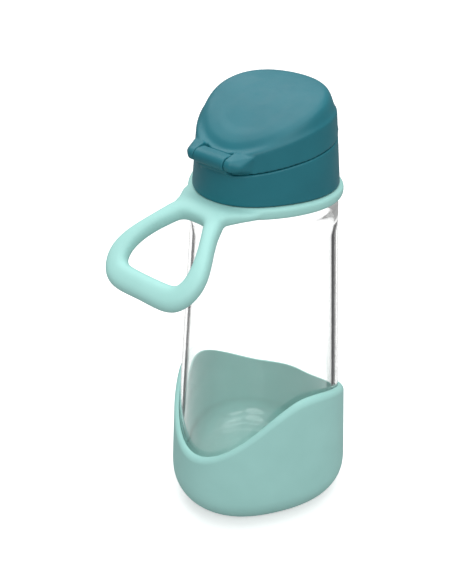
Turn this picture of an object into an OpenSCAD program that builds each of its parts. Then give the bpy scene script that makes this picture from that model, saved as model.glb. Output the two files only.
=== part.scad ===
// Flip-top glass water bottle: a rounded-triangle glass bottle in a silicone boot,
// a screw lid with a hinged flip-top over a soft spout, and a silicone carry handle.
// Millimetres. +Z is up, the bottle's axis is Z, and it stands on z = 0.
// The hinge and the carry handle are on the -Y side, the drinking side is +Y.

/* [Bottle] */
// Mean radius of the glass wall low on the body
glass_r_low = 39.1; // [38:0.1:39.4]
// Mean radius of the glass wall just under the shoulder
glass_r_top = 31.4; // [30.5:0.1:32]
// Wall thickness of the glass
glass_wall = 2.6; // [2:0.1:3.2]
// Height of the glass rim above the table
rim_z = 174; // [173.8:0.1:174.2]

/* [Boot] */
// Mean outer radius of the silicone boot, low on its wall
boot_r = 42.5; // [42.2:0.1:43]
// Radius of the boot's rounded lower edge
boot_round = 17.5; // [16.5:0.5:18]
// Lowest height of the boot's wavy rim, under the handle
boot_low = 38; // [34:1:42]
// Height of the rim's crest on the +X side
boot_high = 71.5; // [68:0.5:74]
// Height of the rim's smaller crest on the -X side
boot_far = 63.5; // [60:0.5:66]
// Height of the boot's rim on the drinking side
boot_back = 47.5; // [45:0.5:52]

/* [Lid] */
// Mean outer radius of the lid at its lower edge
lid_r = 31; // [30.6:0.1:31.6]
// How far the flip-top's thumb lip stands proud of the lid's wall
thumb_lip = 0.9; // [0.5:0.1:1.4]
// Width of the release button
button_w = 14; // [10:1:16]

/* [Handle] */
// Slope of the handle loop at its root, in degrees below level
droop = 17; // [10:1:22]
// Thickness of the handle loop
loop_t = 7; // [6:0.25:7]

/* [Hidden] */

mint = [0.66, 0.85, 0.83];
teal = [0.16, 0.42, 0.46];
clear_glass = [0.85, 0.93, 0.95, 0.35];
soft_white = [0.86, 0.90, 0.90];
steel = [0.72, 0.73, 0.75];

around = 48;               // points in each ring of a lofted skin
tri_glass = 0.045;         // how triangular the glass is: share of its radius
tri_boot = 0.062;
tri_collar = 0.05;
floor_z = 3;               // underside of the glass, on the boot's floor
glass_round = 16;          // rounding of the glass at its base
glass_floor = 6;           // thickness of the glass base
flank_z = 40;              // below this the glass wall stands upright
shoulder_z = 157;          // the shoulder's rounding starts here
shoulder_in = 3;           // how far the shoulder's rounding reaches in, and up
shoulder_up = 3.4;
bowl_round = 13;           // rounding of the drink's space at its floor
rim_edge = 0.8;            // chamfer of the glass's drinking rim
neck_z = 161;              // the neck rises from here
neck_r = 24;
mouth_r = 21.2;
boot_gap = 0.15;           // air between the glass and the boot
lean_z = 20;               // above this the boot's wall leans in with the glass
boot_lean = 0.05;          // how fast it leans in, per unit height
boot_lip = 1.2;            // width of the rounded edge along the boot's rim
// The boot's rim: angle from -Y and height of each low, crest and shoulder, in order.
rim_keys = [[-6, boot_low], [78, boot_high], [180, boot_back], [216, boot_back - 2.5],
            [288, boot_far], [354, boot_low]];

pitch = 4;                 // screw thread
thread_turns = 1.2;
thread_h = 1.1;
thread_half = 1.1;         // half the width of a thread ridge
neck_thread_z = 168;       // lowest point of the neck's ridge centre
thread_lo = 166.5;
thread_hi = 174;
thread_step = 0.5;
liner_r = 25.5;            // root radius of the liner's thread
liner_out = 26.6;
liner_lo = 166.9;
seal_t = 1.6;
liner_top = rim_z + seal_t + 1.4;

lid_lo = 166.5;            // lower edge of the lid
lid_wall = 1.7;
lid_lean = 0.088;          // how fast the lid's wall leans in, per unit height
lid_gap = 0.35;            // parting gap under the flip-top
deck_t = 1.8;
crown_r = 23.8;            // radius of the flip-top's crowned face
hub_r = 10.4;              // socket under the deck that holds the spout's flange
hub_z = liner_top + 1.6;   // the socket's lower edge, on that flange
tall = 20;                 // height of cuts and posts that run out through the deck
pin_y = -32.1;             // hinge axis
pin_z = 184.4;
pin_r = 1.25;
pin_play = 0.06;           // air round the pin in the barrel
barrel_r = 2.9;
barrel_half = 7.6;         // half the length of the hinge barrel
ear_in = 7.95;
ear_r = 2.7;
ear_out = 10.6;            // the ear's round end reaches this far out
ear_tip = [12.2, -30.4, 184];
ear_tip_r = 2.2;
ear_root = [[8.45, -27.6, 179.7, 8.5], [16, -24.3, 180.6, 6.6]];  // x, y, foot and height
ear_root_r = 0.5;
pin_half = 11.4;           // half the length of the hinge pin
notch_r = 15.8;            // curve of the flip-top's rear edge between its ears
notch_mid = -28.3;
block_r = 4.5;             // the hinge block stays inside this radius of the pin
spout_y = 3;
spout_hole_r = 8.3;
vent_hole_r = 3.1;
plug_z = 195.1;
cap_t = 2.2;               // wall of the flip-top
vent_y = -14;
button_z = 182;
button_h = 6;
button_y0 = 21.9;          // inner and outer face of the button
button_y1 = 29;
button_gap = 0.2;          // air round the button in its window
latch_half = 3;            // half the width of the latch
latch_gap = 0.3;
latch_post = 1.2;          // thickness of the latch's post, and how far its hook reaches out
latch_hook = 1.8;
latch_up = 5.7;            // the latch stands this far above the button
press = 2;                 // travel of the button
catch_y = 24.8;            // the flip-top's catch, over the latch's hook
catch_z = 188.2;
catch_size = [7, 2.4, 1];
spring_y0 = 16.8;
spring_y1 = 22.6;
spring_wall = [8, 1.6];    // wall the spring pushes on: its width and thickness
spring_wall_y = 14.9;
spring_seat_r = 2.4;       // pocket in the button's back
spring_seat = 1.1;
latch_y = 22.7;            // rear face of the latch post on the button
spring_r = 1.9;
wire_r = 0.28;
coils = 5;

collar_lo = 161.3;
collar_hi = 166.2;
collar_r = 32.9;
flex_y = -38;              // the axis about which the handle loop flexes
flex_z = (collar_lo + collar_hi) / 2;
root_half = 11.5;          // half the width of the loop's root
root_y = -36.2;            // the collar reaches this far back, round the loop's root
root_pad = 2;              // how far the collar stands out past the root's ends
root_depth = 8;
collar_gap = 0.35;         // air round the glass's neck
flex_gap = 0.45;           // air round the loop's root
curl = 0.78;               // growth of the loop's slope, in degrees for each millimetre
stations = 44;             // sections round the loop

// ---- shared curves -------------------------------------------------------------------

// A point at angle a from -Y, counter-clockwise seen from above.
function at(a, r, z) = [r * sin(a), -r * cos(a), z];
function tri(a, r, share) = r * (1 + share * cos(3 * a));
function mix(a, b, t) = a + (b - a) * t;
function smooth(t) = t <= 0 ? 0 : t >= 1 ? 1 : t * t * (3 - 2 * t);
angles = [for (i = [0 : around - 1]) i * 360 / around];
function flat_ring(r, share, z) = [for (a = angles) at(a, tri(a, r, share), z)];

// Skin over closed rings, from the first ring's flat cap to the last ring's flat cap.
module loft(rings) {
  n = len(rings[0]);
  m = len(rings);
  points = [for (ring = rings) each ring];
  sides = [for (k = [0 : m - 2], i = [0 : n - 1])
             let (a = k * n + i, b = k * n + (i + 1) % n, c = b + n, d = a + n)
             each [[a, d, c], [a, c, b]]];
  first = [for (i = [0 : n - 1]) i];
  last = [for (i = [n - 1 : -1 : 0]) (m - 1) * n + i];
  polyhedron(points, concat([first], sides, [last]), convexity = 8);
}

// Helical ridge of a screw thread: 0 off the ridge, 1 on its crest, fading out at both ends.
function ridge(a, z, z0) = max([for (k = [-1 : ceil(thread_turns)])
  let (turn = a / 360 + k, off = (z - z0 - pitch * turn) / thread_half,
       fade = min(smooth(turn / 0.08), smooth((thread_turns - turn) / 0.08)))
  abs(off) < 1 ? pow(cos(90 * off), 2) * fade : 0]);
function thread_levels(lo, hi) = [for (z = [lo : thread_step : hi]) z];

// ---- glass and boot ------------------------------------------------------------------

function glass_r(z) = z < flank_z ? glass_r_low
  : mix(glass_r_low, glass_r_top, (z - flank_z) / (shoulder_z - flank_z));
function arc_steps(n) = [for (i = [0 : n]) i / n];

glass_foot = [for (t = arc_steps(6))
  flat_ring(glass_r_low - glass_round * (1 - sin(90 * t)), tri_glass,
            floor_z + glass_round * (1 - cos(90 * t)))];
glass_flank = [for (z = [flank_z, 80, 118, shoulder_z]) flat_ring(glass_r(z), tri_glass, z)];
glass_shoulder = [for (t = [0.35, 0.7, 1])
  flat_ring(glass_r_top - shoulder_in * (1 - cos(90 * t)), tri_glass * (1 - 0.3 * t),
            shoulder_z + shoulder_up * sin(90 * t))];
glass_neck = [for (z = concat([neck_z], thread_levels(thread_lo, thread_hi - 1.5)))
  [for (a = angles) at(a, neck_r + thread_h * ridge(a, z, neck_thread_z), z)]];
glass_rim = [flat_ring(neck_r, 0, rim_z - rim_edge), flat_ring(neck_r - rim_edge, 0, rim_z),
             flat_ring(mouth_r + rim_edge, 0, rim_z), flat_ring(mouth_r, 0, rim_z - rim_edge)];
glass_inside = concat(
  [flat_ring(mouth_r, 0, neck_z - 1),
   flat_ring(glass_r_top - glass_wall - shoulder_in, tri_glass, shoulder_z)],
  [for (z = [145, 80, flank_z]) flat_ring(glass_r(z) - glass_wall, tri_glass, z)],
  [for (t = arc_steps(4))
     flat_ring(glass_r_low - glass_wall - bowl_round * (1 - cos(90 * t)), tri_glass,
               floor_z + glass_floor + bowl_round * (1 - sin(90 * t)))]);

module glass_bottle() {
  color(clear_glass)
    loft(concat(glass_foot, glass_flank, glass_shoulder, glass_neck, glass_rim, glass_inside));
}

// The boot's rim runs in one smooth wave through its keys.
function boot_rim(a) = let (
    turn = a > 354 ? a - 360 : a,
    k = max([for (i = [0 : len(rim_keys) - 2]) turn >= rim_keys[i][0] ? i : 0]),
    low = rim_keys[k], high = rim_keys[k + 1])
  mix(low[1], high[1], smooth((turn - low[0]) / (high[0] - low[0])));
function boot_rise(z) = max(0, z - lean_z);
function boot_point(a, z, inset) =
  at(a, tri(a, boot_r - boot_lean * boot_rise(z) - inset, tri_boot - 0.0004 * boot_rise(z)), z);
function boot_ring(level, inset) = [for (a = angles) boot_point(a, level * boot_rim(a), inset)];

module base_boot() {
  wall_in = glass_r_low + boot_gap;
  outside = concat(
    [for (t = arc_steps(6))
       flat_ring(boot_r - boot_round * (1 - sin(90 * t)), tri_boot, boot_round * (1 - cos(90 * t)))],
    [for (level = [0.6, 0.8, 0.96]) boot_ring(level, 0)],
    [boot_ring(0.99, 0.4 * boot_lip), boot_ring(1, boot_lip)]);
  inside = concat(
    [for (share = [1, 0.6, 0])
       [for (a = angles)
          let (z = mix(min(flank_z, 0.9 * boot_rim(a)), boot_rim(a), share),
               r = glass_r(z) + boot_gap + (share == 1 ? 0.5 : 0))
          at(a, tri(a, r, tri_glass), z)]],
    [for (t = arc_steps(6))
       flat_ring(wall_in - (glass_round + boot_gap) * (1 - cos(90 * t)), tri_glass,
                 floor_z - boot_gap + (glass_round + boot_gap) * (1 - sin(90 * t)))]);
  color(mint) loft(concat(outside, inside));
}

// ---- carry handle --------------------------------------------------------------------

module handle_collar() {
  color(mint) difference() {
    translate([0, 0, collar_lo]) linear_extrude(collar_hi - collar_lo) union() {
      polygon([for (a = angles) [for (k = [0, 1]) at(a, tri(a, collar_r, tri_collar), 0)[k]]]);
      translate([-root_half - root_pad, root_y]) square([2 * (root_half + root_pad), root_depth]);
    }
    translate([0, 0, collar_lo - 1])
      cylinder(r = neck_r + collar_gap, h = collar_hi - collar_lo + 2, $fn = 96);
    flex_bar(loop_t / 2 + flex_gap, root_half + 3 * root_pad);
  }
}

module flex_bar(r, half) {
  translate([-half, flex_y, flex_z]) rotate([0, 90, 0]) cylinder(r = r, h = 2 * half, $fn = 64);
}

// Closed uniform cubic B-spline at parameter u, counted in control points.
function spline(points, u) =
  let (n = len(points), i = floor(u), t = u - i, p = [for (k = [0 : 3]) points[(i + k - 1 + n) % n]])
  (pow(1 - t, 3) * p[0] + (3 * t * t * t - 6 * t * t + 4) * p[1]
   + (3 * t * t - 3 * t * t * t + 3 * t + 1) * p[2] + t * t * t * p[3]) / 6;
function mirrored(half) = concat(half, [for (i = [len(half) - 2 : -1 : 1]) [-half[i][0], half[i][1]]]);

// Control points of half the loop's outline and half its hole, from the tip to the root:
// x across, then the distance from the flex axis along the loop.
loop_rim = mirrored([[0, 44.5], [9, 45], [20, 44], [26.8, 30], [18, 14], [14.5, 6], [12, -2.6], [0, -2.6]]);
loop_hole = mirrored([[0, 34.5], [9, 34.4], [16, 33.8], [16.2, 25.6], [12.6, 16], [8.4, 9.5], [6.5, 5.4],
                      [0, 5.2]]);

// The loop curls downwards: its place and its slope at a distance s along it.
function loop_slope(s) = droop + curl * s;
function loop_point(x, s) = let (k = 180 / (PI * curl))
  [x, flex_y - k * (sin(loop_slope(s)) - sin(droop)), flex_z + k * (cos(loop_slope(s)) - cos(droop))];
function loop_up(s) = [0, -sin(loop_slope(s)), cos(loop_slope(s))];

module handle_loop() {
  count = len(loop_rim);
  sections = [for (i = [stations - 1 : -1 : 0])
    let (u = i * count / stations, rim = spline(loop_rim, u), hole = spline(loop_hole, u),
         mid = (rim + hole) / 2, out = (rim - hole) / 2)
    [for (b = [0 : 30 : 330])
       let (p = mid + out * cos(b)) loop_point(p[0], p[1]) + loop_up(mid[1]) * loop_t / 2 * sin(b)]];
  color(mint) union() {
    flex_bar(loop_t / 2, root_half);
    closed_loft(sections);
  }
}

// ---- lid -----------------------------------------------------------------------------

function lid_wall_r(z) = lid_r - (z - lid_lo) * lid_lean;
function lid_share(z) = 0.055 - (z - lid_lo) * 0.0005;
function parting(y) = 184.6 + 0.156 * y - 0.00115 * y * y;
function wall_top(y) = 195.9 + 0.20 * y - 0.0046 * y * y;
function crown(y) = 201.1 + 0.342 * y - 0.0069 * y * y;

// A ring on the lid's wall, on a surface z = f(y) + lift, inset from the outside.
function wall_point(a, z, inset) = at(a, tri(a, lid_wall_r(z) - inset, lid_share(z)), z);
function parting_ring(inset, lift) = [for (a = angles)
  let (y = -cos(a) * tri(a, lid_wall_r(184) - inset, 0.046)) wall_point(a, parting(y) + lift, inset)];
function top_ring(inset, lift) = [for (a = angles)
  let (y = -cos(a) * tri(a, lid_wall_r(196) - inset, 0.04)) wall_point(a, wall_top(y) + lift, inset)];
// The crown's rings sag by a further amount towards the drinking side.
function crown_ring(size, lift, sag = 0) = [for (a = angles)
  let (r = tri(a, crown_r * size, 0.02), y = -r * cos(a)) at(a, r, crown(y) + lift - sag * smooth(y / 19))];

module pin_bar(r, x0, x1) {
  translate([x0, pin_y, pin_z]) rotate([0, 90, 0]) cylinder(r = r, h = x1 - x0, $fn = 64);
}
module both_sides() {
  children();
  mirror([1, 0, 0]) children();
}

module lid_seal() {
  color(soft_white) translate([0, 0, rim_z + 0.05]) difference() {
    cylinder(r = neck_r + 0.9, h = seal_t - 0.1, $fn = 96);
    translate([0, 0, -1]) cylinder(r = mouth_r + 0.2, h = 5, $fn = 96);
  }
}

// Threaded inner cap that screws onto the glass and carries the spout and the vent.
module lid_liner() {
  wall = concat([flat_ring(liner_out, 0, liner_lo), flat_ring(liner_out, 0, liner_top)]);
  roof = [flat_ring(8, 0, liner_top), flat_ring(8, 0, rim_z + seal_t)];
  bore = concat([flat_ring(liner_r, 0, rim_z + seal_t)],
    [for (z = [thread_hi - 1.5 : -thread_step : thread_lo + 0.6])
       [for (a = angles) at(a, liner_r - thread_h * ridge(a, z, neck_thread_z - pitch / 2), z)]]);
  color(teal) difference() {
    closed_loft(concat(wall, roof, bore));
    translate([0, vent_y, rim_z]) cylinder(r = 1.9, h = 6, $fn = 32);
  }
}

// Skin over rings that close on themselves, as round a tube's wall.
module closed_loft(rings) {
  n = len(rings[0]);
  m = len(rings);
  faces = [for (k = [0 : m - 1], i = [0 : n - 1])
             let (e = (k + 1) % m, a = k * n + i, b = k * n + (i + 1) % n,
                  c = e * n + (i + 1) % n, d = e * n + i)
             each [[a, d, c], [a, c, b]]];
  polyhedron([for (ring = rings) each ring], faces, convexity = 8);
}

module lid_shell() {
  color(teal) difference() {
    union() {
      difference() {
        loft([flat_ring(lid_wall_r(lid_lo), lid_share(lid_lo), lid_lo), parting_ring(0, -lid_gap / 2),
              parting_ring(lid_r - 4, -lid_gap / 2)]);
        lid_hollow();
      }
      hinge_block();
    }
    translate([0, spout_y, liner_top - 3]) cylinder(r = spout_hole_r, h = tall, $fn = 64);
    translate([0, vent_y, liner_top]) cylinder(r = vent_hole_r, h = tall, $fn = 40);
    pin_bar(pin_r + pin_play, -lid_r, lid_r);
    translate([-button_w / 2 - button_gap, button_y0 - press, button_z - button_h / 2 - button_gap])
      cube([button_w + 2 * button_gap, tall, button_h + 2 * button_gap]);
    translate([-latch_half - latch_gap, latch_y - press - latch_gap, button_z])
      cube([2 * (latch_half + latch_gap), press + latch_hook, tall]);
  }
}

// Room under the deck, round the spout's socket and the wall that the button's spring pushes on.
module lid_hollow() {
  difference() {
    loft([flat_ring(lid_wall_r(lid_lo - 1) - lid_wall, lid_share(lid_lo), lid_lo - 1),
          parting_ring(lid_wall, -lid_gap / 2 - deck_t), parting_ring(lid_r - 4, -lid_gap / 2 - deck_t)]);
    translate([0, spout_y, hub_z]) cylinder(r = hub_r, h = tall, $fn = 64);
    translate([-spring_wall[0] / 2, spring_wall_y, liner_top + 0.2])
      cube([spring_wall[0], spring_wall[1], tall]);
  }
}

// Barrel between the flip-top's ears, on a block that leans back to the lid's wall.
module hinge_block() {
  pin_bar(barrel_r, -barrel_half, barrel_half);
  intersection() {
    pin_bar(block_r, -barrel_half, barrel_half);
    translate([-barrel_half, pin_y, pin_z - 5]) cube([2 * barrel_half, 5, 5 + barrel_r]);
  }
  translate([-barrel_half, -30.7, 177.4]) cube([2 * barrel_half, 2.9, 5.2]);
}

// Soft drinking spout, held by its flange between the liner and the lid shell.
module spout() {
  z0 = liner_top;
  color(soft_white) translate([0, spout_y, 0]) rotate_extrude($fn = 72)
    polygon([[5, z0], [hub_r, z0], [hub_r, z0 + 1.5], [8.1, z0 + 1.6], [8.1, 186], [6.4, 188.5],
             [6.1, 190], [6.9, 191.6], [6.9, 193.4], [5.6, 194.8], [2.2, 194.8], [2.2, 193],
             [4.6, 192], [4.4, 189], [6.3, 185.5], [6.3, z0 + 3], [5, z0 + 2]]);
}

module vent_valve() {
  z0 = liner_top;
  color(soft_white) translate([0, vent_y, 0]) rotate_extrude($fn = 48)
    polygon([[0, z0 - 3.4], [0.9, z0 - 3.4], [1.85, z0 - 1.4], [1.85, z0], [3, z0], [3, z0 + 1.2],
             [1.9, z0 + 1.2], [1.9, 183.2], [2.7, 183.4], [2.4, 184.4], [1.2, 184.9], [0, 185]]);
}

// Hinged cover: a leaning shell with a crowned top, two ears and a thumb lip.
module flip_top() {
  color(teal) difference() {
    union() {
      flip_skin();
      both_sides() ear();
      translate([-catch_size[0] / 2, catch_y, catch_z]) cube(catch_size);
    }
    hinge_notch();
    pin_bar(pin_r, -lid_r, lid_r);
  }
}

module flip_skin() {
  lip = [for (a = angles)
    let (d = abs(a - 180), out = thumb_lip * smooth((56 - d) / 12),
         y = -cos(a) * tri(a, lid_wall_r(184), 0.046), z = parting(y) + lid_gap / 2)
    at(a, tri(a, lid_wall_r(z), lid_share(z)) + out, z)];
  lip_top = [for (p = [0 : around - 1])
    let (a = angles[p], d = abs(a - 180), out = thumb_lip * smooth((56 - d) / 12), z = lip[p][2] + 2.2)
    at(a, tri(a, lid_wall_r(z), lid_share(z)) + out * 0.6, z)];
  outside = [lip, lip_top, parting_ring(0, 3.6), top_ring(0, -1.5), top_ring(0.9, 0.5),
             crown_ring(1.09, -0.9, 1.4), crown_ring(0.98, -0.35), crown_ring(0.8, 0.1),
             crown_ring(0.5, 0.35), crown_ring(0.2, 0.45)];
  inside = [crown_ring(0.2, -cap_t), crown_ring(0.7, -cap_t), crown_ring(0.95, -cap_t - 0.6, 1),
            top_ring(cap_t + 0.8, -cap_t), parting_ring(cap_t, lid_gap / 2)];
  loft(concat(inside, outside));
}

module ear() {
  hull() {
    pin_bar(ear_r, ear_in, ear_out);
    translate(ear_tip) sphere(r = ear_tip_r, $fn = 24);
    for (r = ear_root) translate([r[0], r[1], r[2]]) cylinder(r = ear_root_r, h = r[3], $fn = 16);
  }
}

// Clearance for the hinge block, with the curved rear edge between the ears.
module hinge_notch() {
  pin_bar(block_r + 0.3, -ear_in, ear_in);
  difference() {
    translate([-ear_in, -45, 170]) cube([2 * ear_in, 19.2, 40]);
    translate([0, notch_mid + notch_r, 160]) cylinder(r = notch_r, h = 60, $fn = 96);
  }
}

module spout_plug() {
  color(soft_white) translate([0, spout_y, 0]) difference() {
    union() {
      translate([0, 0, plug_z]) cylinder(r = 6.6, h = 3.6, $fn = 64);
      translate([0, 0, plug_z - 1]) cylinder(r = 1.6, h = 1.2, $fn = 32);
    }
    translate([0, -spout_y, crown(0) - cap_t - 0.25]) rotate([17, 0, 0])
      translate([-20, -20, 0]) cube([40, 40, 20]);
  }
}

module hinge_pin() {
  color(steel) pin_bar(pin_r, -pin_half, pin_half);
}

module release_button() {
  h = button_h;
  color(teal) difference() {
    union() {
      translate([-button_w / 2, button_y0, button_z - h / 2]) cube([button_w, button_y1 - button_y0, h]);
      translate([-latch_half, latch_y, button_z]) cube([2 * latch_half, latch_post, h / 2 + latch_up]);
      translate([-latch_half, latch_y, button_z + h / 2 + latch_up - latch_post])
        cube([2 * latch_half, latch_hook, latch_post]);
    }
    translate([0, button_y0 - 1, button_z]) rotate([-90, 0, 0])
      cylinder(r = spring_seat_r, h = 1 + spring_seat, $fn = 40);
  }
}

// Compression spring behind the button.
module button_spring() {
  steps = 14 * coils;
  sides = 6;
  rings = [for (i = [0 : steps])
    let (t = i / steps, a = 360 * coils * t, y = mix(spring_y0, spring_y1, t))
    [for (k = [0 : sides - 1])
       let (b = -k * 360 / sides, r = spring_r + wire_r * cos(b))
       [r * cos(a), y + wire_r * sin(b), button_z + r * sin(a)]]];
  color(steel) loft(rings);
}

glass_bottle();
base_boot();
handle_collar();
handle_loop();
lid_seal();
lid_liner();
lid_shell();
spout();
vent_valve();
flip_top();
spout_plug();
hinge_pin();
release_button();
button_spring();
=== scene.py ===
"""Looks of a flip-top glass water bottle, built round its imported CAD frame.

The shape functions work in millimetres, and solid() turns them into metres. +Z is up, the
lid's hinge and the carry handle are on -Y. Angles run from -Y towards +X, seen from above.
"""

import math

import bmesh
import bpy
import numpy as np
from mathutils import Matrix, Vector


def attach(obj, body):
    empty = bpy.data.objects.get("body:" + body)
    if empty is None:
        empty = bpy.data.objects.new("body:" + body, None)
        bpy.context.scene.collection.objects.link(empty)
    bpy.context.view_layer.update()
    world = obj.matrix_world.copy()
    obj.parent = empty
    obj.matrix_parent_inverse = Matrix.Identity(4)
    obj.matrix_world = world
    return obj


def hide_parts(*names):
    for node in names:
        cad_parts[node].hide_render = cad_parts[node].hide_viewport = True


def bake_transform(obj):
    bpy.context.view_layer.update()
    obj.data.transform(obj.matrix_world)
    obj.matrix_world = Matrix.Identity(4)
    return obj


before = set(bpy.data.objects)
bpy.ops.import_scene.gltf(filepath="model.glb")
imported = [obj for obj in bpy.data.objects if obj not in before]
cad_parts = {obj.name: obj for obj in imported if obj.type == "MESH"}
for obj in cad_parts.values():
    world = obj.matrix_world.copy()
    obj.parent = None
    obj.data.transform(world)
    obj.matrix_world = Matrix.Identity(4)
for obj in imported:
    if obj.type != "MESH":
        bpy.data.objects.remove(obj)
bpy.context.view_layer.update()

# ---- dimensions, as in the CAD -------------------------------------------------------------

MM = 0.001
AROUND = 192                      # points in each ring of a lofted skin
ANGLES = np.arange(AROUND) * 2 * math.pi / AROUND

GLASS_LOW, GLASS_TOP, GLASS_WALL = 39.1, 31.4, 2.6
GLASS_SHARE = 0.045               # how triangular the glass is
FLOOR_Z, GLASS_ROUND, GLASS_FLOOR = 3, 16, 6
SHOULDER_IN, SHOULDER_UP = 3, 3.4  # how far the shoulder's rounding reaches
BOWL_ROUND, RIM_ROUND = 13, 1.2   # roundings of the drink's space and of the drinking rim
FLANK_Z, SHOULDER_Z, NECK_Z, RIM_Z = 40, 157, 161, 174
NECK_R, MOUTH_R = 24, 21.2
PITCH, TURNS, THREAD_H, THREAD_HALF, THREAD_Z = 4, 1.2, 1.1, 1.1, 168
THREAD_FADE = 0.08                # the share of a turn over which each end of the thread fades

BOOT_R, BOOT_ROUND, BOOT_GAP, BOOT_SHARE = 42.5, 17.5, 0.15, 0.062
# The boot's rim: degrees from -Y and height of each low, crest and shoulder, in order.
RIM_KEYS = [(-6, 38), (78, 71.5), (180, 47.5), (216, 45), (288, 63.5), (354, 38)]
LEAN_Z, LIP_H = 20, 3.2
BOOT_LEAN, BOOT_EASE = 0.05, 0.0004   # radius and share that its wall loses per millimetre above LEAN_Z
RECESS = [(2, 0.7), (18, 0.7), (19.5, 0.7), (20.2, 0.5), (20.6, 0.2), (21.4, 0)]  # hollow under its foot

COLLAR_LO, COLLAR_HI, COLLAR_R, COLLAR_SHARE = 161.3, 166.2, 32.9, 0.05
COLLAR_GAP = 0.35                 # air round the glass's neck
FLEX_Y, FLEX_Z, DROOP, CURL, LOOP_T = -38, 163.75, 17, 0.78, 7
STATIONS, SECTION = 150, 40       # sections round the loop, and points in each section
LOOP_POWER, WEB_POWER, COLLAR_POWER = 0.78, 0.5, 0.42   # the smaller, the squarer the section
WEB_LOW, WEB_HIGH = -13, 2.5      # the web reaches this far either way of the flex axis
WEB_HALF, WEB_FLARE = 13.1, 7.2   # half its width at the loop, and what it gains at the collar

LID_R, LID_LO, LID_WALL, LID_GAP, DECK_T = 31, 166.5, 1.7, 0.35, 1.8
LID_SHARE, LID_LEAN, LID_EASE = 0.055, 0.088, 0.0005   # its share, and radius and share lost per millimetre
PARTING_Z, PARTING_SHARE = 184, 0.046   # where the flip-top parts from the lid, at its middle
TOP_Z, TOP_SHARE = 196, 0.04      # where the flip-top's wall meets its bevel
PIN_Y, PIN_Z, BARREL_R, BARREL_HALF, BLOCK_R = -32.1, 184.4, 2.9, 7.6, 4.5
BLOCK_ROOT = [(-27.8, 176.6), (-27.8, 184), (-30.7, 178.6), (-31.9, 181.6)]  # y, z, in the lid's wall
EAR_IN, EAR_OUT, EAR_R, NOTCH_R, NOTCH_MID = 7.95, 10.6, 2.7, 15.8, -28.3
EAR_TIP, EAR_TIP_R = (12.2, -30.4, 184), 2.2
EAR_ROOTS = [(EAR_IN, -27.6, 179.7, 188.2), (15.6, -24.4, 180.6, 187.4)]  # x, y, lowest and highest z
CAP_T, CROWN_R, CROWN_SHARE = 2.2, 23.8, 0.02
THUMB, THUMB_HALF, THUMB_FADE = 0.9, 56, 12   # the thumb lip: how far out, and degrees from +Y
LID_OVER = 198                    # above the lid's deck
DISH_Y, DISH_R, DISH_EDGE, DISH_DEPTH = -5, 16, 5, 0.45   # dish for the fingertip
SPOUT_Y, VENT_Y, LINER_TOP, HUB_R = 3, -14, 177, 10.4
HUB_Z = LINER_TOP + 1.6
SPOUT_HOLE_R, VENT_HOLE_R = 8.3, 3.1
BUTTON_W, BUTTON_Z, BUTTON_H, BUTTON_GAP = 14, 182, 6, 0.2
BUTTON_Y0, BUTTON_Y1 = 21.9, 29
LATCH_Y, LATCH_HALF, LATCH_UP = 22.7, 3, 5.7
LATCH_GAP, PRESS = 0.3, 2         # air round the latch in its slot, and the button's travel
LATCH_POST, LATCH_HOOK = 1.2, 1.8  # thickness of the post, and how far its hook reaches out
# The flip-top's catch, over the latch's hook: its lowest and highest corner.
CATCH = (-3.5, LATCH_Y + 2.1, 188.2), (3.5, LATCH_Y + 4.5, 189.2)


# ---- mesh helpers --------------------------------------------------------------------------

def smooth(t):
    """0 to 1 with level ends."""
    t = np.clip(t, 0, 1)
    return t * t * (3 - 2 * t)


def mix(a, b, t):
    """The value a share t of the way from a to b."""
    return a + (b - a) * t


def circle(count):
    """Angles of a whole turn, in radians."""
    return np.arange(count) * 2 * math.pi / count


def quarter(count):
    """Angles of a quarter turn, in radians."""
    return np.linspace(0, math.pi / 2, count)


def solid(name, points, faces):
    """A smooth-shaded mesh object from millimetre points, its normals outwards."""
    mesh = bpy.data.meshes.new(name)
    mesh.from_pydata((np.asarray(points, float) * MM).tolist(), [], faces)
    bm = bmesh.new()
    bm.from_mesh(mesh)
    bmesh.ops.recalc_face_normals(bm, faces=bm.faces)
    bm.to_mesh(mesh)
    bm.free()
    mesh.shade_smooth()
    piece = bpy.data.objects.new(name, mesh)
    bpy.context.scene.collection.objects.link(piece)
    return piece


def skin(name, rings, closed=False):
    """A closed skin over rings: capped at both ends, or closed on itself."""
    rings = [np.asarray(r, float) for r in rings]
    n, m = len(rings[0]), len(rings)
    points = list(np.vstack(rings))
    faces = [(k * n + i, k * n + (i + 1) % n, (k + 1) % m * n + (i + 1) % n, (k + 1) % m * n + i)
             for k in range(m if closed else m - 1) for i in range(n)]
    if not closed:
        for k in (0, m - 1):
            points.append(rings[k].mean(axis=0))
            faces += [(k * n + i, k * n + (i + 1) % n, len(points) - 1) for i in range(n)]
    return solid(name, points, faces)


def soften(rings, times):
    """Corner cutting along a stack of rings: the first and last ring stay."""
    rings = np.asarray(rings, float)
    for _ in range(times):
        cut = [rings[0]]
        for a, b in zip(rings[:-1], rings[1:]):
            cut += [mix(a, b, 0.25), mix(a, b, 0.75)]
        rings = np.asarray(cut + [rings[-1]])
    return list(rings)


def ring(r, share, z):
    """A rounded triangle at height z; r, share and z may each vary round it."""
    radius = r * (1 + share * np.cos(3 * ANGLES))
    return np.column_stack([radius * np.sin(ANGLES), -radius * np.cos(ANGLES),
                            np.broadcast_to(z, ANGLES.shape)])


def post(name, r, low, high, y=0):
    """An upright cylinder on the middle plane."""
    return skin(name, [ring(r, 0, z) + (0, y, 0) for z in (low, high)])


def pin_bar(name, r, half):
    """A cylinder on the hinge's axis."""
    b = circle(96)
    return skin(name, [np.column_stack([np.full(len(b), x), PIN_Y + r * np.cos(b), PIN_Z + r * np.sin(b)])
                       for x in (-half, half)])


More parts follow.
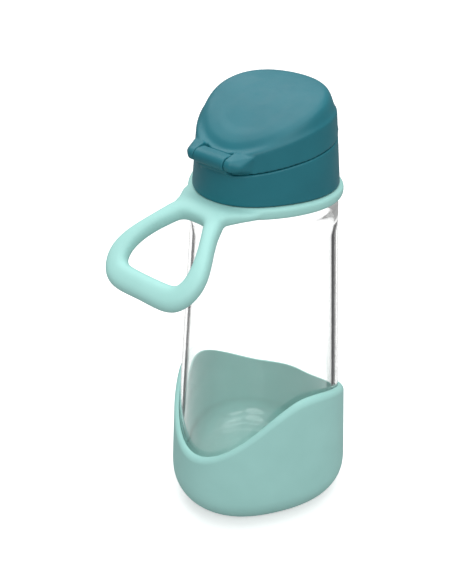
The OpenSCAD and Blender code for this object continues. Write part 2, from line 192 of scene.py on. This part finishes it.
def hinge_prism(name, outline):
    """The hull of an outline of (y, z) points, as wide as the hinge's barrel."""
    return hull(name, [(x, y, z) for x in (-BARREL_HALF, BARREL_HALF) for y, z in outline])


def block(name, low, high):
    """A box between two corners."""
    (x0, y0, z0), (x1, y1, z1) = low, high
    return skin(name, [[(x0, y0, z), (x1, y0, z), (x1, y1, z), (x0, y1, z)] for z in (z0, z1)])


def hull(name, points):
    """The convex hull of a few points."""
    bm = bmesh.new()
    for p in points:
        bm.verts.new(p)
    result = bmesh.ops.convex_hull(bm, input=bm.verts)
    bmesh.ops.delete(bm, geom=list({*result["geom_interior"], *result["geom_unused"]}), context="VERTS")
    bm.verts.ensure_lookup_table()
    bm.verts.index_update()
    points = [tuple(v.co) for v in bm.verts]
    faces = [tuple(v.index for v in f.verts) for f in bm.faces]
    bm.free()
    return solid(name, points, faces)


def settle(piece):
    """Applies the piece's modifiers."""
    graph = bpy.context.evaluated_depsgraph_get()
    mesh = bpy.data.meshes.new_from_object(piece.evaluated_get(graph))
    piece.modifiers.clear()
    piece.data = mesh
    piece.data.name = piece.name
    piece.data.shade_smooth()


def carve(piece, operation, *tools):
    """Adds the tools to the piece (UNION), or cuts them away (DIFFERENCE)."""
    for tool in tools:
        cut = piece.modifiers.new("carve", "BOOLEAN")
        cut.object, cut.operation, cut.solver = tool, operation, "MANIFOLD"
        settle(piece)
        bpy.data.objects.remove(tool)
    return piece


def melt(piece, voxel, rounds):
    """Fuses the piece into one even mesh of small faces and rounds its edges."""
    remesh = piece.modifiers.new("fuse", "REMESH")
    remesh.mode, remesh.voxel_size = "VOXEL", voxel * MM
    ease = piece.modifiers.new("ease", "SMOOTH")
    ease.factor, ease.iterations = 0.5, rounds
    settle(piece)
    return piece


def dress(piece, material, body, slot, *nodes):
    """Gives a finished piece its material and body, and hides the CAD nodes it stands for. The slot is not
    used.
    """
    piece.data.materials.clear()
    piece.data.materials.append(material)
    if body:
        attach(piece, body)
    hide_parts(*nodes)
    return piece


# ---- materials -----------------------------------------------------------------------------

def paint(red, green, blue):
    """An sRGB colour, 0 to 255, as linear RGBA."""
    parts = [c / 255 for c in (red, green, blue)]
    return (*[c / 12.92 if c <= 0.04045 else ((c + 0.055) / 1.055) ** 2.4 for c in parts], 1)


def noise(nodes, links, scale, detail=3.0, roughness=0.5):
    """A noise texture over the piece's own coordinates; scale is in waves per metre."""
    place = nodes.get("place") or nodes.new("ShaderNodeTexCoord")
    place.name = "place"
    texture = nodes.new("ShaderNodeTexNoise")
    texture.inputs["Scale"].default_value = scale
    texture.inputs["Detail"].default_value = detail
    texture.inputs["Roughness"].default_value = roughness
    links.new(place.outputs["Object"], texture.inputs["Vector"])
    return texture.outputs["Fac"]


def spread(nodes, links, value, low, high):
    """A 0 to 1 noise value spread between low and high."""
    span = nodes.new("ShaderNodeMapRange")
    span.inputs["From Min"].default_value, span.inputs["From Max"].default_value = 0.3, 0.7
    span.inputs["To Min"].default_value, span.inputs["To Max"].default_value = low, high
    links.new(value, span.inputs["Value"])
    return span.outputs["Result"]


def fresh(name):
    """A new node material, its nodes and its links."""
    material = bpy.data.materials.new(name)
    material.use_nodes = True
    return material, material.node_tree.nodes, material.node_tree.links


def combine(nodes, links, operation, first, second):
    """A math node on the first value and the second."""
    node = nodes.new("ShaderNodeMath")
    node.operation = operation
    links.new(first, node.inputs[0])
    links.new(second, node.inputs[1])
    return node.outputs["Value"]


def choose(nodes, links, value, off, on):
    """Sends one shader to the surface where value is 0, and the other where it is 1."""
    either = nodes.new("ShaderNodeMixShader")
    links.new(value, either.inputs["Fac"])
    links.new(off.outputs["BSDF"], either.inputs[1])
    links.new(on.outputs["BSDF"], either.inputs[2])
    links.new(either.outputs["Shader"], nodes["Material Output"].inputs["Surface"])


def bumps(nodes, links, height, strength, depth):
    """Lets a height, at most depth millimetres, roughen the surface."""
    bump = nodes.new("ShaderNodeBump")
    bump.inputs["Strength"].default_value = strength
    bump.inputs["Distance"].default_value = depth * MM
    links.new(height, bump.inputs["Height"])
    links.new(bump.outputs["Normal"], nodes["Principled BSDF"].inputs["Normal"])


def moulded(name, light, dark, rough, grain, depth, **sockets):
    """A moulded plastic or rubber: cloudy colour, uneven gloss and a fine grained surface."""
    material, nodes, links = fresh(name)
    shader = nodes["Principled BSDF"]
    for socket, value in sockets.items():
        shader.inputs[socket.replace("_", " ")].default_value = value
    tint = nodes.new("ShaderNodeMix")
    tint.data_type = "RGBA"
    tint.inputs["A"].default_value, tint.inputs["B"].default_value = dark, light
    links.new(spread(nodes, links, noise(nodes, links, 55), 0, 1), tint.inputs["Factor"])
    links.new(tint.outputs["Result"], shader.inputs["Base Color"])
    links.new(spread(nodes, links, noise(nodes, links, 140), rough - 0.04, rough + 0.05),
              shader.inputs["Roughness"])
    bumps(nodes, links, noise(nodes, links, grain, 4, 0.6), 0.6, depth)
    return material


def clear_glass():
    """Clear soda glass, faintly wavy as blown bottles are, with a few cloudy wipes. Lamps and bounced
    light pass straight through it, so that the drink's space isn't dark."""
    material, nodes, links = fresh("clear_glass")
    shader = nodes["Principled BSDF"]
    shader.inputs["Base Color"].default_value = (0.995, 1, 0.998, 1)
    shader.inputs["Transmission Weight"].default_value = 1
    shader.inputs["IOR"].default_value = 1.5
    links.new(spread(nodes, links, noise(nodes, links, 60), 0.0, 0.03), shader.inputs["Roughness"])
    bumps(nodes, links, noise(nodes, links, 45, 1), 0.25, 0.12)
    path = nodes.new("ShaderNodeLightPath").outputs
    through = nodes.new("ShaderNodeBsdfTransparent")
    through.inputs["Color"].default_value = (0.98, 0.99, 0.985, 1)
    plain = combine(nodes, links, "MAXIMUM", path["Is Shadow Ray"], path["Is Diffuse Ray"])
    choose(nodes, links, plain, shader, through)
    return material


GLASS = clear_glass()
MINT = moulded("mint_silicone", paint(169, 221, 215), paint(164, 216, 210), 0.5, 2600, 0.03,
               Specular_IOR_Level=0.3)
TEAL = moulded("teal_plastic", paint(28, 113, 126), paint(24, 107, 120), 0.46, 3400, 0.025,
               Specular_IOR_Level=0.4)
SOFT = moulded("soft_silicone", paint(226, 232, 230), paint(216, 224, 222), 0.45, 2400, 0.03,
               Specular_IOR_Level=0.4, Transmission_Weight=0.25)
STEEL = moulded("steel", paint(200, 201, 204), paint(176, 178, 182), 0.24, 5200, 0.02, Metallic=1.0)


# ---- glass bottle --------------------------------------------------------------------------

def glass_r(z):
    """The glass's outer radius at height z: straight up to FLANK_Z, then tapering."""
    return np.where(np.asarray(z) < FLANK_Z, GLASS_LOW,
                    mix(GLASS_LOW, GLASS_TOP, (np.asarray(z) - FLANK_Z) / (SHOULDER_Z - FLANK_Z)))


def thread(z):
    """The height of the screw thread's ridge round the neck at height z, 0 to 1."""
    best = np.zeros(AROUND)
    for k in range(-1, math.ceil(TURNS) + 1):
        turn = ANGLES / (2 * math.pi) + k
        off = np.clip((z - THREAD_Z - PITCH * turn) / THREAD_HALF, -1, 1)
        fade = np.minimum(smooth(turn / THREAD_FADE), smooth((TURNS - turn) / THREAD_FADE))
        best = np.maximum(best, np.cos(math.pi / 2 * off) ** 2 * fade)
    return best


def glass_bottle():
    """The bottle, as one skin: up the outside from the foot, over the rim and down the inside."""
    foot = [ring(GLASS_LOW - GLASS_ROUND * (1 - math.sin(t)), GLASS_SHARE,
                 FLOOR_Z + GLASS_ROUND * (1 - math.cos(t))) for t in quarter(16)]
    flank = [ring(glass_r(z), GLASS_SHARE, z) for z in np.linspace(FLANK_Z, SHOULDER_Z, 30)]
    shoulder = [ring(GLASS_TOP - SHOULDER_IN * (1 - math.cos(t)), GLASS_SHARE * (1 - 0.5 * t / math.pi),
                     SHOULDER_Z + SHOULDER_UP * math.sin(t)) for t in quarter(10)[1:]]
    neck = [ring(NECK_R + 0.8 * (1 - t), 0, mix(SHOULDER_Z + SHOULDER_UP + 0.1, NECK_Z + 0.5, t))
            for t in (0.3, 0.6, 1)]
    screw = [ring(NECK_R + THREAD_H * thread(z), 0, z)
             for z in np.arange(THREAD_Z - 3, RIM_Z - RIM_ROUND - 0.1, 0.25)]
    half = (NECK_R - MOUTH_R) / 2
    rim = [ring(NECK_R - half * (1 - math.cos(t)), 0, RIM_Z - RIM_ROUND * (1 - math.sin(t)))
           for t in np.linspace(0, math.pi, 17)]
    inside = soften([ring(MOUTH_R, 0, z) for z in (172, 163, 160)]
                    + [ring(GLASS_TOP - GLASS_WALL - 2.4, GLASS_SHARE, SHOULDER_Z + 0.4)]
                    + [ring(glass_r(z) - GLASS_WALL, GLASS_SHARE, z)
                       for z in (151, 140, 100, 60, FLANK_Z, 26)], 4)
    bowl = [ring(GLASS_LOW - GLASS_WALL - BOWL_ROUND * (1 - math.cos(t)), GLASS_SHARE,
                 FLOOR_Z + GLASS_FLOOR + BOWL_ROUND * (1 - math.sin(t))) for t in quarter(14)]
    floor_r = GLASS_LOW - GLASS_WALL - BOWL_ROUND
    floor = [ring(r, GLASS_SHARE, FLOOR_Z + GLASS_FLOOR + 0.5 * (1 - (r / floor_r) ** 2))
             for r in (18, 12, 6, 1)]
    piece = skin("bottle_glass", foot + flank + shoulder + neck + screw + rim + inside + bowl + floor)
    return dress(piece, GLASS, "bottle", "clear_glass", "glass_bottle")


# ---- silicone boot -------------------------------------------------------------------------

def boot_rim():
    """Height of the wavy rim at each angle: low under the handle, with a crest at each side."""
    turn = (np.degrees(ANGLES) + 6) % 360 - 6
    height = np.zeros(AROUND)
    for (a, low), (b, high) in zip(RIM_KEYS[:-1], RIM_KEYS[1:]):
        height = np.where((turn >= a) & (turn < b), mix(low, high, smooth((turn - a) / (b - a))), height)
    return height


def boot_ring(z):
    """A ring of the boot's outer wall, which leans in and grows rounder above LEAN_Z."""
    rise = np.maximum(0, z - LEAN_Z)
    return ring(BOOT_R - BOOT_LEAN * rise, BOOT_SHARE - BOOT_EASE * rise, z)


def base_boot():
    """The boot, as one skin: out under the foot, up its wall, over the rim and down along the glass."""
    rim = boot_rim()
    recess = [ring(r, BOOT_SHARE, z) for r, z in RECESS]
    foot = [ring(BOOT_R - BOOT_ROUND * (1 - math.sin(t)), BOOT_SHARE, BOOT_ROUND * (1 - math.cos(t)))
            for t in quarter(20)]
    wall = [boot_ring(mix(BOOT_ROUND, rim - LIP_H, t)) for t in np.linspace(0, 1, 26)[1:]]
    inner_top = ring(glass_r(rim) + BOOT_GAP, GLASS_SHARE, rim - 0.5)
    outer_low = wall[-1]
    # The rim is rounded from its outer face right over to the glass.
    lip = []
    for t in quarter(12)[1:]:
        point = mix(outer_low, inner_top, 1 - math.cos(t))
        point[:, 2] = rim - LIP_H + LIP_H * math.sin(t)
        lip.append(point)
    inner = [ring(glass_r(z) + BOOT_GAP, GLASS_SHARE, z)
             for z in (mix(rim - 0.6, FLOOR_Z + GLASS_ROUND + 0.2, t) for t in np.linspace(0, 1, 22))]
    bowl = [ring(GLASS_LOW + BOOT_GAP - (GLASS_ROUND + BOOT_GAP) * (1 - math.cos(t)), GLASS_SHARE,
                 FLOOR_Z - BOOT_GAP + (GLASS_ROUND + BOOT_GAP) * (1 - math.sin(t))) for t in quarter(14)]
    piece = skin("silicone_boot", recess + foot + wall + lip + inner + bowl)
    return dress(piece, MINT, "bottle", "mint_silicone", "base_boot")


# ---- carry handle --------------------------------------------------------------------------

def mirrored(half):
    """A closed outline from its +X half, whose ends lie on x = 0."""
    return half + [(-x, s) for x, s in half[-2:0:-1]]


# Control points of the loop's outline and its hole: x across, then the distance from the flex axis.
LOOP_RIM = mirrored([(0, 44.5), (9, 45), (20, 44), (26.8, 30), (18, 14), (14.5, 6), (12, -2.6), (0, -2.6)])
LOOP_HOLE = mirrored([(0, 34.5), (9, 34.4), (16, 33.8), (16.2, 25.6), (12.6, 16), (8.4, 9.5), (6.5, 5.4),
                      (0, 5.2)])


def spline(points, u):
    """Closed uniform cubic B-spline at u, counted in control points."""
    i, t = int(math.floor(u)), u - math.floor(u)
    a, b, c, d = (np.array(points[(i + k - 1) % len(points)], float) for k in range(4))
    return ((1 - t) ** 3 * a + (3 * t**3 - 6 * t**2 + 4) * b
            + (3 * t**2 - 3 * t**3 + 3 * t + 1) * c + t**3 * d) / 6


def loop_place(x, s):
    """A point on the loop's middle surface, s along it from the flex axis, and the way up from it."""
    start = math.radians(DROOP)
    slope = start + math.radians(CURL) * max(s, 0)
    bend = 180 / (math.pi * CURL)
    y = FLEX_Y - bend * (math.sin(slope) - math.sin(start)) - min(s, 0)
    z = FLEX_Z + bend * (math.cos(slope) - math.cos(start))
    up = np.array([0, -math.sin(slope), math.cos(slope)]) if s >= 0 else np.array([0, 0, 1.0])
    return np.array([x, y, z]), up


def squircle(b, power):
    """A rounded-square section's cosine and sine at angle b."""
    c, s = math.cos(b), math.sin(b)
    return math.copysign(abs(c) ** power, c), math.copysign(abs(s) ** power, s)


def loop_skin():
    """The finger loop: a rounded-square section swept between the outline and the hole."""
    sections = []
    for u in np.arange(STATIONS) * len(LOOP_RIM) / STATIONS:
        rim, hole = spline(LOOP_RIM, u), spline(LOOP_HOLE, u)
        middle, out = (rim + hole) / 2, (rim - hole) / 2
        up = loop_place(0, middle[1])[1]
        section = []
        for b in circle(SECTION):
            across, high = squircle(b, LOOP_POWER)
            x, s = middle + out * across
            section.append(loop_place(x, s)[0] + up * LOOP_T / 2 * high)
        sections.append(section)
    return skin("carry_handle", sections, closed=True)


def web_skin():
    """A web that widens from the loop's root into the collar."""
    sections = []
    for s in np.linspace(WEB_LOW, WEB_HIGH, 20):
        half = WEB_HALF + WEB_FLARE * smooth((3 - s) / 16)
        thick = mix(COLLAR_HI - COLLAR_LO, LOOP_T - 0.2, smooth((s + 9) / 10)) / 2
        section = []
        for b in circle(SECTION):
            across, high = squircle(b, WEB_POWER)
            place, up = loop_place(half * across, s)
            section.append(place + up * thick * high)
        sections.append(section)
    return skin("web", sections)


def collar_skin():
    """The ring round the bottle's neck."""
    middle, half = (COLLAR_LO + COLLAR_HI) / 2, (COLLAR_HI - COLLAR_LO) / 2
    inner, outer = ring(NECK_R + 0.4, 0, middle), ring(COLLAR_R, COLLAR_SHARE, middle)
    rings = []
    for b in circle(SECTION):
        across, high = squircle(b, COLLAR_POWER)
        rings.append(mix(inner, outer, (1 + across) / 2) + (0, 0, half * high))
    return skin("collar", rings, closed=True)


def carry_handle():
    """The collar and the finger loop, which bends just outside the collar."""
    piece = loop_skin()
    carve(piece, "UNION", web_skin(), collar_skin())
    carve(piece, "DIFFERENCE", post("bore", NECK_R + COLLAR_GAP, 150, 180))
    melt(piece, 0.55, 14)
    dress(piece, MINT, None, "mint_silicone", "handle_collar", "handle_loop")
    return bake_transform(piece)


# ---- lid -----------------------------------------------------------------------------------

def lid_r(z):
    """The radius of the lid and of the flip-top's wall at height z."""
    return LID_R - (z - LID_LO) * LID_LEAN


def lid_share(z):
    """How triangular they are at height z."""
    return LID_SHARE - (z - LID_LO) * LID_EASE


def parting(y):
    """Height of the joint between the lid and the flip-top."""
    return 184.6 + 0.156 * y - 0.00115 * y * y


def wall_top(y):
    """Height at which the flip-top's wall ends."""
    return 195.9 + 0.20 * y - 0.0046 * y * y


def crown(y):
    """Height of the flip-top's sloping face."""
    return 201.1 + 0.342 * y - 0.0069 * y * y


def back_of(r, share):
    """The y of each point of a ring of that radius."""
    return -np.cos(ANGLES) * r * (1 + share * np.cos(3 * ANGLES))


def wall_ring(z, inset):
    """A ring of the lid's or the flip-top's wall."""
    return ring(lid_r(z) - inset, lid_share(z), z)


def parting_ring(inset, lift):
    """A ring that follows the joint between the lid and the flip-top."""
    return wall_ring(parting(back_of(lid_r(PARTING_Z) - inset, PARTING_SHARE)) + lift, inset)


def top_ring(inset, lift):
    """A ring that follows the top of the flip-top's wall."""
    return wall_ring(wall_top(back_of(lid_r(TOP_Z) - inset, TOP_SHARE)) + lift, inset)


def crown_ring(size, lift, sag=0):
    """A ring of the sloping face, which may sag towards the drinking side."""
    r = CROWN_R * size
    y = back_of(r, CROWN_SHARE)
    return ring(r, CROWN_SHARE, crown(y) + lift - sag * smooth(y / 19))


def lid_body():
    """The screw lid's outer shell, with the hinge barrel, the deck and the holes in it."""
    top = parting_ring(0, -LID_GAP / 2)
    low = wall_ring(np.full(AROUND, LID_LO), 0)
    piece = skin("lid_cap", [low] + [mix(low, top, t) for t in (0.25, 0.5, 0.75)] + [top])
    hollow = skin("hollow", [wall_ring(np.full(AROUND, LID_LO - 1.0), LID_WALL),
                             parting_ring(LID_WALL, -LID_GAP / 2 - DECK_T)])
    carve(hollow, "DIFFERENCE", post("hub", HUB_R, HUB_Z, LID_OVER, SPOUT_Y))
    carve(piece, "DIFFERENCE", hollow)
    knuckle = ([(PIN_Y + BLOCK_R * math.sin(t), PIN_Z + BLOCK_R * math.cos(t))
                for t in np.linspace(0.95, math.pi, 16)]
               + [(PIN_Y, PIN_Z + BARREL_R), (PIN_Y + 3.2, PIN_Z + BARREL_R), (PIN_Y, PIN_Z - BLOCK_R)])
    carve(piece, "UNION", pin_bar("hinge", BARREL_R, BARREL_HALF), hinge_prism("knuckle", knuckle),
          hinge_prism("root", BLOCK_ROOT))
    carve(piece, "DIFFERENCE",
          post("spout_hole", SPOUT_HOLE_R, 174, LID_OVER, SPOUT_Y),
          post("vent_hole", VENT_HOLE_R, LINER_TOP, LID_OVER, VENT_Y),
          block("window", (-BUTTON_W / 2 - BUTTON_GAP, 20, BUTTON_Z - BUTTON_H / 2 - BUTTON_GAP),
                (BUTTON_W / 2 + BUTTON_GAP, 34, BUTTON_Z + BUTTON_H / 2 + BUTTON_GAP)),
          block("latch_slot", (-LATCH_HALF - LATCH_GAP, LATCH_Y - PRESS - LATCH_GAP, BUTTON_Z),
                (LATCH_HALF + LATCH_GAP, LATCH_Y + 1.5, 202)))
    melt(piece, 0.4, 4)
    return dress(piece, TEAL, "lid", "teal_plastic", "lid_shell")


def ear(side):
    """One ear of the flip-top: the hull of a disc on the pin, a ball at its outer end and its root."""
    disc = [(side * x, PIN_Y + EAR_R * math.cos(t), PIN_Z + EAR_R * math.sin(t))
            for x in (EAR_IN, EAR_OUT) for t in circle(32)]
    tip = [(side * EAR_TIP[0] + EAR_TIP_R * math.sin(a) * math.cos(b),
            EAR_TIP[1] + EAR_TIP_R * math.sin(a) * math.sin(b), EAR_TIP[2] + EAR_TIP_R * math.cos(a))
           for a in np.linspace(0.1, 3.04, 9) for b in np.linspace(0, 6.0, 14)]
    root = [(side * x, y, z) for x, y, low, high in EAR_ROOTS for z in (low, high)]
    return hull("ear", disc + tip + root)


def flip_cover():
    """The hinged cover: a leaning shell with a crowned top, two ears and a thumb lip."""
    away = np.abs(np.degrees(ANGLES) - 180)
    out = THUMB * smooth((THUMB_HALF - away) / THUMB_FADE)
    seam = parting(back_of(lid_r(PARTING_Z), PARTING_SHARE)) + LID_GAP / 2
    lip = []
    for z, part in ((seam, 1), (seam + 2.2, 0.6)):
        radius = lid_r(z) * (1 + lid_share(z) * np.cos(3 * ANGLES)) + out * part
        lip.append(np.column_stack([radius * np.sin(ANGLES), -radius * np.cos(ANGLES), z]))
    outside = lip + soften([parting_ring(0, 3.6), top_ring(0, -1.2), top_ring(0.1, -0.3), top_ring(0.8, 0.5),
                            crown_ring(1.09, -0.5, 0.9), crown_ring(1.02, 0.3), crown_ring(0.98, 0.65),
                            crown_ring(0.9, 0.75), crown_ring(0.8, 0.75),
                            crown_ring(0.5, 0.8), crown_ring(0.2, 0.85)], 2)
    # A shallow dish for the fingertip in the face.
    for level in outside:
        gap = np.hypot(level[:, 0], level[:, 1] - DISH_Y)
        dip = DISH_DEPTH * smooth((DISH_R - gap) / DISH_EDGE)
        level[:, 2] -= np.where(level[:, 2] > crown(level[:, 1]) - 3, dip, 0)
    inside = [crown_ring(0.2, -CAP_T), crown_ring(0.7, -CAP_T), crown_ring(0.95, -CAP_T - 0.6, 1),
              top_ring(CAP_T + 0.8, -CAP_T), parting_ring(CAP_T, LID_GAP / 2)]
    piece = skin("flip_cover", inside + outside)
    carve(piece, "UNION", ear(-1), ear(1), block("catch", *CATCH))
    # The notch between the ears, in which the lid's hinge block stands.
    cut = block("cut", (-EAR_IN, PIN_Y - 13, PIN_Z - 15), (EAR_IN, NOTCH_MID + 2.5, PIN_Z + 25))
    carve(cut, "DIFFERENCE", post("curve", NOTCH_R, PIN_Z - 25, PIN_Z + 35, NOTCH_MID + NOTCH_R))
    carve(piece, "DIFFERENCE", cut, pin_bar("clearance", BLOCK_R + 0.3, EAR_IN))
    melt(piece, 0.4, 7)
    return dress(piece, TEAL, "cover", "teal_plastic", "flip_top")


def push_button():
    """The release button with its latch, a hooked post that reaches up through the deck."""
    top = BUTTON_Z + BUTTON_H / 2
    piece = block("push_button", (-BUTTON_W / 2, BUTTON_Y0, BUTTON_Z - BUTTON_H / 2),
                  (BUTTON_W / 2, BUTTON_Y1, top))
    latch = block("latch", (-LATCH_HALF, LATCH_Y, top - 0.5),
                  (LATCH_HALF, LATCH_Y + LATCH_POST, top + LATCH_UP))
    hook = block("hook", (-LATCH_HALF, LATCH_Y + 0.1, top + LATCH_UP - LATCH_POST),
                 (LATCH_HALF, LATCH_Y + LATCH_HOOK, top + LATCH_UP - 0.05))
    carve(piece, "UNION", latch, hook)
    melt(piece, 0.25, 6)
    return dress(piece, TEAL, "button", "teal_plastic", "release_button")


def drinking_spout():
    """The soft spout: a nipple on a neck, hollow, with a flange at its foot."""
    z = LINER_TOP
    profile = [(5, z), (HUB_R, z), (HUB_R, z + 1.5), (8.1, z + 1.6), (8.1, 186), (6.4, 188.5), (6.1, 190),
               (6.9, 191.6), (6.9, 193.4), (5.6, 194.8), (2.2, 194.8), (2.2, 193), (4.6, 192), (4.4, 189),
               (6.3, 185.5), (6.3, z + 3), (5, z + 2), (5, z)]
    rings = soften([ring(r, 0, level) + (0, SPOUT_Y, 0) for r, level in profile], 2)
    return dress(skin("drinking_spout", rings[:-1], closed=True), SOFT, "lid", "soft_silicone", "spout")


# ---- build ---------------------------------------------------------------------------------

glass_bottle()
base_boot()
carry_handle()
lid_body()
flip_cover()
push_button()
drinking_spout()

for node, material in {"lid_seal": SOFT, "lid_liner": TEAL, "vent_valve": SOFT, "spout_plug": SOFT,
                       "hinge_pin": STEEL, "button_spring": STEEL}.items():
    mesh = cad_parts[node].data
    mesh.materials.clear()
    mesh.materials.append(material)


# ---- studio --------------------------------------------------------------------------------

AZIMUTH, ELEVATION, ROLL = 40.908, 31.009, 0.7   # the camera's, in degrees; azimuth is from -Y
CAMERA_PLACE = (0.222703, -0.278337, 0.323586)  # metres
LENS, SENSOR, SHIFT_X, SHIFT_Y = 56.06, 36, -0.0040, -0.0010
FLOOR_HALF = 4000
FLAG_START, FLAG_REACH = 50, 600  # a flag starts this far to the side, and reaches this far back
# Name, place in metres, diameter in metres and power in watts of each lamp.
LAMPS = [("top", (0.1, 0.1, 1.5), 1.4, 9.5), ("back", (-0.75, 0.35, 1.2), 1.3, 6.5),
         ("right", (1.1, -0.3, 1.0), 0.8, 4), ("front", (0.5, -1.0, 1.0), 0.8, 5)]
LAMP_TARGET = (0, 0, 0.1)


def studio_floor():
    """A pale floor, which throws less light back at the object than the camera sees on it."""
    corners = ((-1, -1), (1, -1), (1, 1), (-1, 1))
    floor = solid("studio_floor", [(x * FLOOR_HALF, y * FLOOR_HALF, 0) for x, y in corners], [(0, 1, 2, 3)])
    material = moulded("pale_floor", (0.97, 0.97, 0.97, 1), (0.96, 0.96, 0.96, 1), 0.8, 300, 0.05,
                       Specular_IOR_Level=0.1)
    nodes, links = material.node_tree.nodes, material.node_tree.links
    pale = nodes["Principled BSDF"]
    pale.inputs["Emission Color"].default_value = (1, 1, 1, 1)
    pale.inputs["Emission Strength"].default_value = 0.36
    dull = nodes.new("ShaderNodeBsdfDiffuse")
    dull.inputs["Color"].default_value = (0.4, 0.4, 0.4, 1)
    path = nodes.new("ShaderNodeLightPath").outputs
    reflected = combine(nodes, links, "SUBTRACT", path["Is Glossy Ray"], path["Is Transmission Ray"])
    choose(nodes, links, combine(nodes, links, "MAXIMUM", path["Is Diffuse Ray"], reflected), pale, dull)
    floor.data.materials.append(material)


def flag_black():
    """Black for light that has bounced inside the glass, and clear for all other light."""
    material, nodes, links = fresh("flag_black")
    black = nodes["Principled BSDF"]
    black.inputs["Base Color"].default_value = (0.004, 0.004, 0.005, 1)
    bounced = nodes.new("ShaderNodeMath")
    bounced.operation = "GREATER_THAN"
    bounced.inputs[1].default_value = 0.5
    links.new(nodes.new("ShaderNodeLightPath").outputs["Glossy Depth"], bounced.inputs[0])
    choose(nodes, links, bounced.outputs["Value"], nodes.new("ShaderNodeBsdfTransparent"), black)
    return material


def studio_flag(name, side, start, end):
    """A black strip lying on the floor behind the glass, spreading from the line of sight by start to
    end degrees. Only light that has bounced inside the glass meets it: that draws the dark lines along
    the glass's edges, and nothing shows through the clear walls."""
    a = math.radians(AZIMUTH)
    right, away = np.array([math.cos(a), math.sin(a)]), np.array([-math.sin(a), math.cos(a)])
    edge = [[(*(right * side * (FLAG_START + along * math.tan(math.radians(angle))) + away * along), 0.3)
             for along in (0, FLAG_REACH)] for angle in (start, end)]
    card = solid(name, edge[0] + edge[1][::-1], [(0, 1, 2, 3)])
    card.data.materials.append(flag_black())
    card.visible_camera = card.visible_diffuse = card.visible_glossy = card.visible_shadow = False


def studio():
    """The floor, the flags, the world and the lamps."""
    studio_floor()
    studio_flag("flag_right", 1, 26, 75)
    studio_flag("flag_left", -1, 30, 50)
    world = bpy.data.worlds.new("studio")
    world.use_nodes = True
    world.node_tree.nodes["Background"].inputs["Color"].default_value = (1, 1, 1, 1)
    world.node_tree.nodes["Background"].inputs["Strength"].default_value = 0.4
    bpy.context.scene.world = world
    for name, place, size, power in LAMPS:
        lamp = bpy.data.lights.new(name, "AREA")
        lamp.shape, lamp.size, lamp.energy = "DISK", size, power
        lamp_object = bpy.data.objects.new(name, lamp)
        lamp_object.location = place
        aim = Vector(LAMP_TARGET) - Vector(place)
        lamp_object.rotation_euler = aim.to_track_quat("-Z", "Y").to_euler()
        bpy.context.scene.collection.objects.link(lamp_object)


def camera():
    """The photograph's camera."""
    azimuth, elevation, roll = (math.radians(v) for v in (AZIMUTH, ELEVATION, ROLL))
    back = Vector((math.sin(azimuth) * math.cos(elevation), -math.cos(azimuth) * math.cos(elevation),
                   math.sin(elevation)))
    right = Vector((math.cos(azimuth), math.sin(azimuth), 0))
    up = back.cross(right)
    across = right * math.cos(roll) + up * math.sin(roll)
    upward = -right * math.sin(roll) + up * math.cos(roll)
    data = bpy.data.cameras.new("camera")
    data.lens, data.sensor_width, data.shift_x, data.shift_y = LENS, SENSOR, SHIFT_X, SHIFT_Y
    data.clip_start, data.clip_end = 0.01, 20
    view = bpy.data.objects.new("camera", data)
    turn = Matrix((across, upward, back)).transposed().to_4x4()
    view.matrix_world = Matrix.Translation(CAMERA_PLACE) @ turn
    bpy.context.scene.collection.objects.link(view)
    bpy.context.scene.camera = view


studio()
camera()
bpy.context.scene.view_settings.view_transform = "Standard"
